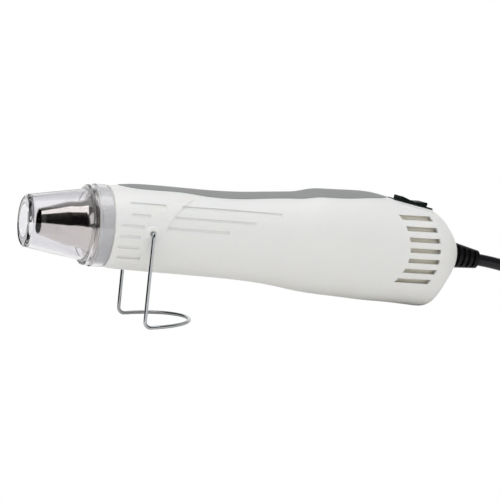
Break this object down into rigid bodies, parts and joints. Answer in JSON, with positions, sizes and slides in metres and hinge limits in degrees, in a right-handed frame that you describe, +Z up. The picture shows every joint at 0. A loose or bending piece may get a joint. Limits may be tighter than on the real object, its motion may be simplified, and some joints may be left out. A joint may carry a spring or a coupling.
{
  "type": "embossing heat tool",
  "caption": "Hand-held hot air tool with clear nozzle guard, side vents, rocker switch, folding wire stand and mains cord.",
  "frame": {"origin": "middle of the box of the tool and its stand, without the cord, on the surface it rests on", "axes": "+X from the nozzle towards the cord, +Y towards the far casing half, +Z up; the nose is tipped up on the wire stand"},
  "size_m": [0.4632, 0.0626, 0.0707],
  "materials": {
    "white_plastic": "satin moulded",
    "grey_grip": "soft-touch matte",
    "clear_plastic": "clear, polished",
    "nozzle_metal": "polished",
    "wire_steel": "bright zinc",
    "black_rubber": "matte",
    "black_plastic": "semi-gloss",
    "mica": "matte",
    "ribbon_metal": "dull",
    "motor_steel": "satin",
    "shaft_steel": "ground",
    "inner_plastic": "matte",
    "board_laminate": "matte",
    "tab_metal": "bright",
    "screw_steel": "zinc",
    "pin_metal": "nickel plate"
  },
  "bodies": {
    "casing": {"housing_left": "white_plastic", "housing_right": "white_plastic", "grip_inlay": "grey_grip", "nozzle_guard": "clear_plastic", "nozzle": "nozzle_metal", "heater_sleeve": "mica", "heater_former": "mica", "heater_winding": "ribbon_metal", "thermal_cutout": "motor_steel", "fan_shroud": "inner_plastic", "motor_can": "motor_steel", "motor_cap": "inner_plastic", "motor_tabs": "tab_metal", "rectifier_board": "board_laminate", "diodes": "black_plastic", "switch_body": "black_plastic", "switch_tabs": "tab_metal", "cord_boot": "black_rubber", "cord_stub": "black_rubber", "cord_clamp": "inner_plastic", "clamp_screws": "screw_steel", "housing_screws": "screw_steel", "cord_lead": "black_rubber", "cord_hank": "black_rubber", "cord_tie": "black_rubber", "cord_tail": "black_rubber", "plug_body": "black_rubber", "plug_pins": "pin_metal"},
    "stand": {"wire_stand": "wire_steel"},
    "rocker": {"switch_rocker": "black_plastic"},
    "rotor": {"motor_shaft": "shaft_steel", "fan_impeller": "inner_plastic"}
  },
  "joints": [
    {"name": "stand_swing", "type": "hinge", "parent": "casing", "child": "stand", "pos_m": [-0.06252, 0, 0.04734], "axis": [0, 1, 0], "range_deg": [-27, 100]},
    {"name": "rocker_tilt", "type": "hinge", "parent": "casing", "child": "rocker", "pos_m": [0.08348, 0, 0.05184], "axis": [0, 1, 0], "range_deg": [-9, 9]},
    {"name": "fan_spin", "type": "hinge", "parent": "casing", "child": "rotor", "pos_m": [0.01667, 0, 0.03836], "axis": [0.9936, 0, -0.1127], "continuous": true}
  ]
}
